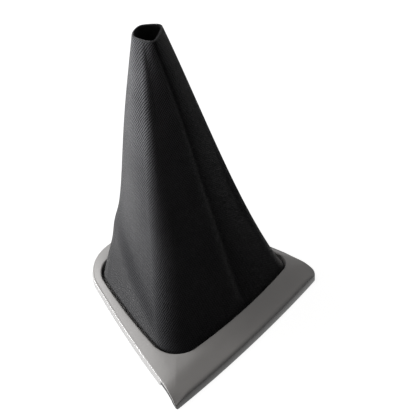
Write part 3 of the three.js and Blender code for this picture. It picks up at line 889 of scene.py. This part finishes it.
def ribs(tree, spot, pitch, angle):
    turned = addNode(tree, "Mapping", {"Vector": spot, "Rotation": (0, 0, math.radians(angle))})
    wave = addNode(tree, "TexWave", {"Vector": turned.outputs["Vector"], "Scale": math.pi / 10 / pitch,
                                     "Distortion": 0.0, "Detail": 0.0}, wave_type="BANDS", bands_direction="X")
    return wave.outputs["Fac"]


def makeBlackLeather():
    g = grainPattern
    material, tree, shader = newMaterial("blackLeather", g["high"], g["roughness"], g["specular"])
    shader.inputs["Sheen Weight"].default_value = g["sheen"]
    shader.inputs["Sheen Roughness"].default_value = g["sheenRoughness"]
    spot = addNode(tree, "UVMap", uv_map="cutPattern").outputs["UV"]
    drift = addNode(tree, "TexNoise", {"Vector": spot, "Scale": g["driftScale"], "Detail": 2.0}).outputs["Color"]
    centred = addNode(tree, "VectorMath", {0: drift, 1: (0.5, 0.5, 0.5)}, operation="SUBTRACT").outputs[0]
    small = addNode(tree, "VectorMath", {0: centred, "Scale": g["drift"]}, operation="SCALE").outputs[0]
    warped = addNode(tree, "VectorMath", {0: spot, 1: small}, operation="ADD").outputs[0]
    rib = ribs(tree, warped, g["ribPitch"], g["ribAngle"])
    cross = mapValue(tree, ribs(tree, warped, g["crossPitch"], g["crossAngle"]), 0.0, g["crossShare"])
    wrinkle, cloud = useSurface(tree, spot, g["wrinkleScale"], g["cloudScale"])
    weave = multiplyAdd(tree, rib, g["ribShare"], cross)
    height = multiplyAdd(tree, wrinkle, g["wrinkleShare"], weave)
    tops = addNode(tree, "MapRange", {"Value": height, "From Min": 0.3, "From Max": 0.85, "To Max": 0.75})
    # grain tops and random clouding, then multiplied by the painted crease and height shade
    wearAndShade = multiplyAdd(tree, cloud, g["cloudShare"], tops.outputs["Result"])
    # painted shade in the crease and towards the foot, painted light towards the top
    creaseShadeFactor = mapValue(tree, pointValue(tree, "creaseShade"), 1.0, g["creaseShadeTone"])
    wearAndShade = addNode(tree, "Math", {0: wearAndShade, 1: creaseShadeFactor}, operation="MULTIPLY").outputs[0]
    # painted shade towards the foot and painted light towards the top, by height
    above = addNode(tree, "SeparateXYZ", {"Vector": addNode(tree, "TexCoord").outputs["Object"]}).outputs["Z"]
    heightShade = addNode(tree, "MapRange", {"Value": above, "From Min": g["darkestBelow"], "From Max": g["lightestAbove"],
                                         "To Min": g["footShadeTone"]}).outputs["Result"]
    wearAndShade = addNode(tree, "Math", {0: wearAndShade, 1: heightShade}, operation="MULTIPLY").outputs[0]
    dyed = blendColours(tree, wearAndShade, g["low"], g["high"])
    # painted highlight along the mouth's rim
    dyed = blendColours(tree, pointValue(tree, "rimHighlight"), dyed, g["rimHighlight"])
    tree.links.new(dyed, shader.inputs["Base Color"])
    roughness = mapValue(tree, wearAndShade, g["roughness"] + g["rougher"], g["roughness"] - g["smoother"])
    tree.links.new(roughness, shader.inputs["Roughness"])
    emboss(tree, shader, height, g["strength"], g["depth"])
    return material


# woven backing on the inside of the leather
backing = {
    "tone": (0.03, 0.03, 0.032), "low": (0.012, 0.012, 0.013), "high": (0.04, 0.04, 0.042),
    "roughness": 0.9, "specular": 0.1, "pitch": 0.0008, "fuzzScale": 3000.0, "cloudScale": 40.0,
    "fuzzShare": 0.6, "strength": 0.7, "depth": 0.0002,
}


def makeBackingCloth():
    material, tree, shader = newMaterial("backingCloth", backing["tone"], backing["roughness"], backing["specular"])
    spot = addNode(tree, "UVMap", uv_map="cutPattern").outputs["UV"]
    warp = ribs(tree, spot, backing["pitch"], 0.0)
    weft = ribs(tree, spot, backing["pitch"], 90.0)
    fuzz, _ = useSurface(tree, spot, backing["fuzzScale"], backing["cloudScale"])
    threads = addNode(tree, "Math", {0: warp, 1: weft}, operation="MULTIPLY").outputs[0]
    height = multiplyAdd(tree, fuzz, backing["fuzzShare"], threads)
    tree.links.new(blendColours(tree, height, backing["low"], backing["high"]), shader.inputs["Base Color"])
    emboss(tree, shader, height, backing["strength"], backing["depth"])
    return material


# black plastic with a fine eroded texture from its mould
moulding = {
    "tone": (0.02, 0.02, 0.021), "low": (0.016, 0.016, 0.017), "high": (0.028, 0.028, 0.029),
    "roughness": 0.6, "smooth": 0.5, "rough": 0.66, "specular": 0.35,
    "pitScale": 2400.0, "cloudScale": 35.0, "strength": 0.6, "depth": 0.0001,
}


def makeBlackMoulding():
    m = moulding
    material, tree, shader = newMaterial("blackMoulding", m["tone"], m["roughness"], m["specular"])
    spot = addNode(tree, "TexCoord").outputs["Object"]
    pits, cloud = useSurface(tree, spot, m["pitScale"], m["cloudScale"])
    tree.links.new(blendColours(tree, cloud, m["low"], m["high"]), shader.inputs["Base Color"])
    tree.links.new(mapValue(tree, cloud, m["smooth"], m["rough"]), shader.inputs["Roughness"])
    emboss(tree, shader, pits, m["strength"], m["depth"])
    return material


# twisted black thread
thread = {
    "tone": (0.035, 0.035, 0.037), "low": (0.015, 0.015, 0.016), "high": (0.05, 0.05, 0.052),
    "roughness": 0.6, "specular": 0.3, "pitch": 0.0006, "angle": 35.0, "strength": 0.6, "depth": 0.0001,
}


def makeBlackThread():
    material, tree, shader = newMaterial("blackThread", thread["tone"], thread["roughness"], thread["specular"])
    spot = addNode(tree, "TexCoord").outputs["Object"]
    twist = ribs(tree, spot, thread["pitch"], thread["angle"])
    tree.links.new(blendColours(tree, twist, thread["low"], thread["high"]), shader.inputs["Base Color"])
    emboss(tree, shader, twist, thread["strength"], thread["depth"])
    return material


silverPaint, blackLeather, blackThread = makeSilverPaint(), makeBlackLeather(), makeBlackThread()
backingCloth, blackMoulding = makeBackingCloth(), makeBlackMoulding()
trimFrame.data.materials.append(silverPaint)
sleeve.data.materials.append(blackLeather)
sleeve.data.materials.append(backingCloth)
backSeam.data.materials.append(blackLeather)
seamStitches.data.materials.append(blackThread)
frameClips.data.materials.append(blackMoulding)
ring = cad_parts["clamping_ring"]
for slot in ring.material_slots:
    slot.material = blackMoulding
print("finishes made")


# floor, lamps and world
stage = {
    "floorSize": 8.0, "floorTone": 0.12, "background": 0.93, "shadowCatch": 0.25, "ambient": 0.03,
    "lampsAimAt": (0, 0, 0.06),
    "key": {"place": (-0.68, 0.93, 0.21), "size": (0.8, 0.4), "power": 28.0, "tint": (0.98, 0.99, 1.0)},
    "top": {"place": (-0.36, 0.44, 1.16), "size": (0.8, 0.8), "power": 7.3, "tint": (1.0, 0.97, 0.95)},
}


# rays from the camera and in reflections find a white floor that keeps a faint shadow
def addFloor():
    bpy.ops.object.select_all(action="DESELECT")
    bpy.ops.mesh.primitive_plane_add(size=stage["floorSize"], location=(0, 0, 0))
    floor = bpy.context.object
    floor.name = "floor"
    tone = stage["floorTone"]
    material, tree, shader = newMaterial("paleFloor", (tone, tone, tone), 0.9, 0.0)
    white = addNode(tree, "Emission", {"Color": (1, 1, 1, 1), "Strength": stage["background"]})
    catch = addNode(tree, "BsdfDiffuse", {"Color": (stage["shadowCatch"],) * 3 + (1,)})
    bright = addNode(tree, "AddShader", {0: white.outputs[0], 1: catch.outputs[0]})
    chosen = addNode(tree, "MixShader", {0: lightPathMask(tree), 1: shader.outputs[0], 2: bright.outputs[0]})
    tree.links.new(chosen.outputs[0], tree.nodes["Material Output"].inputs["Surface"])
    floor.data.materials.append(material)


def lightPathMask(tree):
    path = addNode(tree, "LightPath")
    seen = path.outputs["Is Camera Ray"]
    for kind in ("Is Glossy Ray", "Is Transmission Ray"):
        seen = addNode(tree, "Math", {0: seen, 1: path.outputs[kind]}, operation="MAXIMUM").outputs[0]
    return seen


def addLamp(name, place, size, power, tint):
    bpy.ops.object.light_add(type="AREA", location=place)
    lamp = bpy.context.object
    lamp.name = name
    lamp.rotation_euler = (Vector(stage["lampsAimAt"]) - lamp.location).to_track_quat("-Z", "Y").to_euler()
    lamp.data.shape = "RECTANGLE"
    lamp.data.size, lamp.data.size_y = size
    lamp.data.energy = power
    lamp.data.color = tint


def setWorld():
    world = scene.world or bpy.data.worlds.new("studio")
    scene.world = world
    world.use_nodes = True
    tree = world.node_tree
    dim = tree.nodes["Background"]
    dim.inputs["Color"].default_value = (1, 1, 1, 1)
    dim.inputs["Strength"].default_value = stage["ambient"]
    white = addNode(tree, "Background", {"Color": (1, 1, 1, 1), "Strength": 1.0})
    chosen = addNode(tree, "MixShader", {0: lightPathMask(tree), 1: dim.outputs[0], 2: white.outputs[0]})
    tree.links.new(chosen.outputs[0], tree.nodes["World Output"].inputs["Surface"])


addFloor()
addLamp("keyLamp", **stage["key"])
addLamp("topLamp", **stage["top"])
setWorld()
print("stage set")

scene.view_settings.view_transform = "Standard"
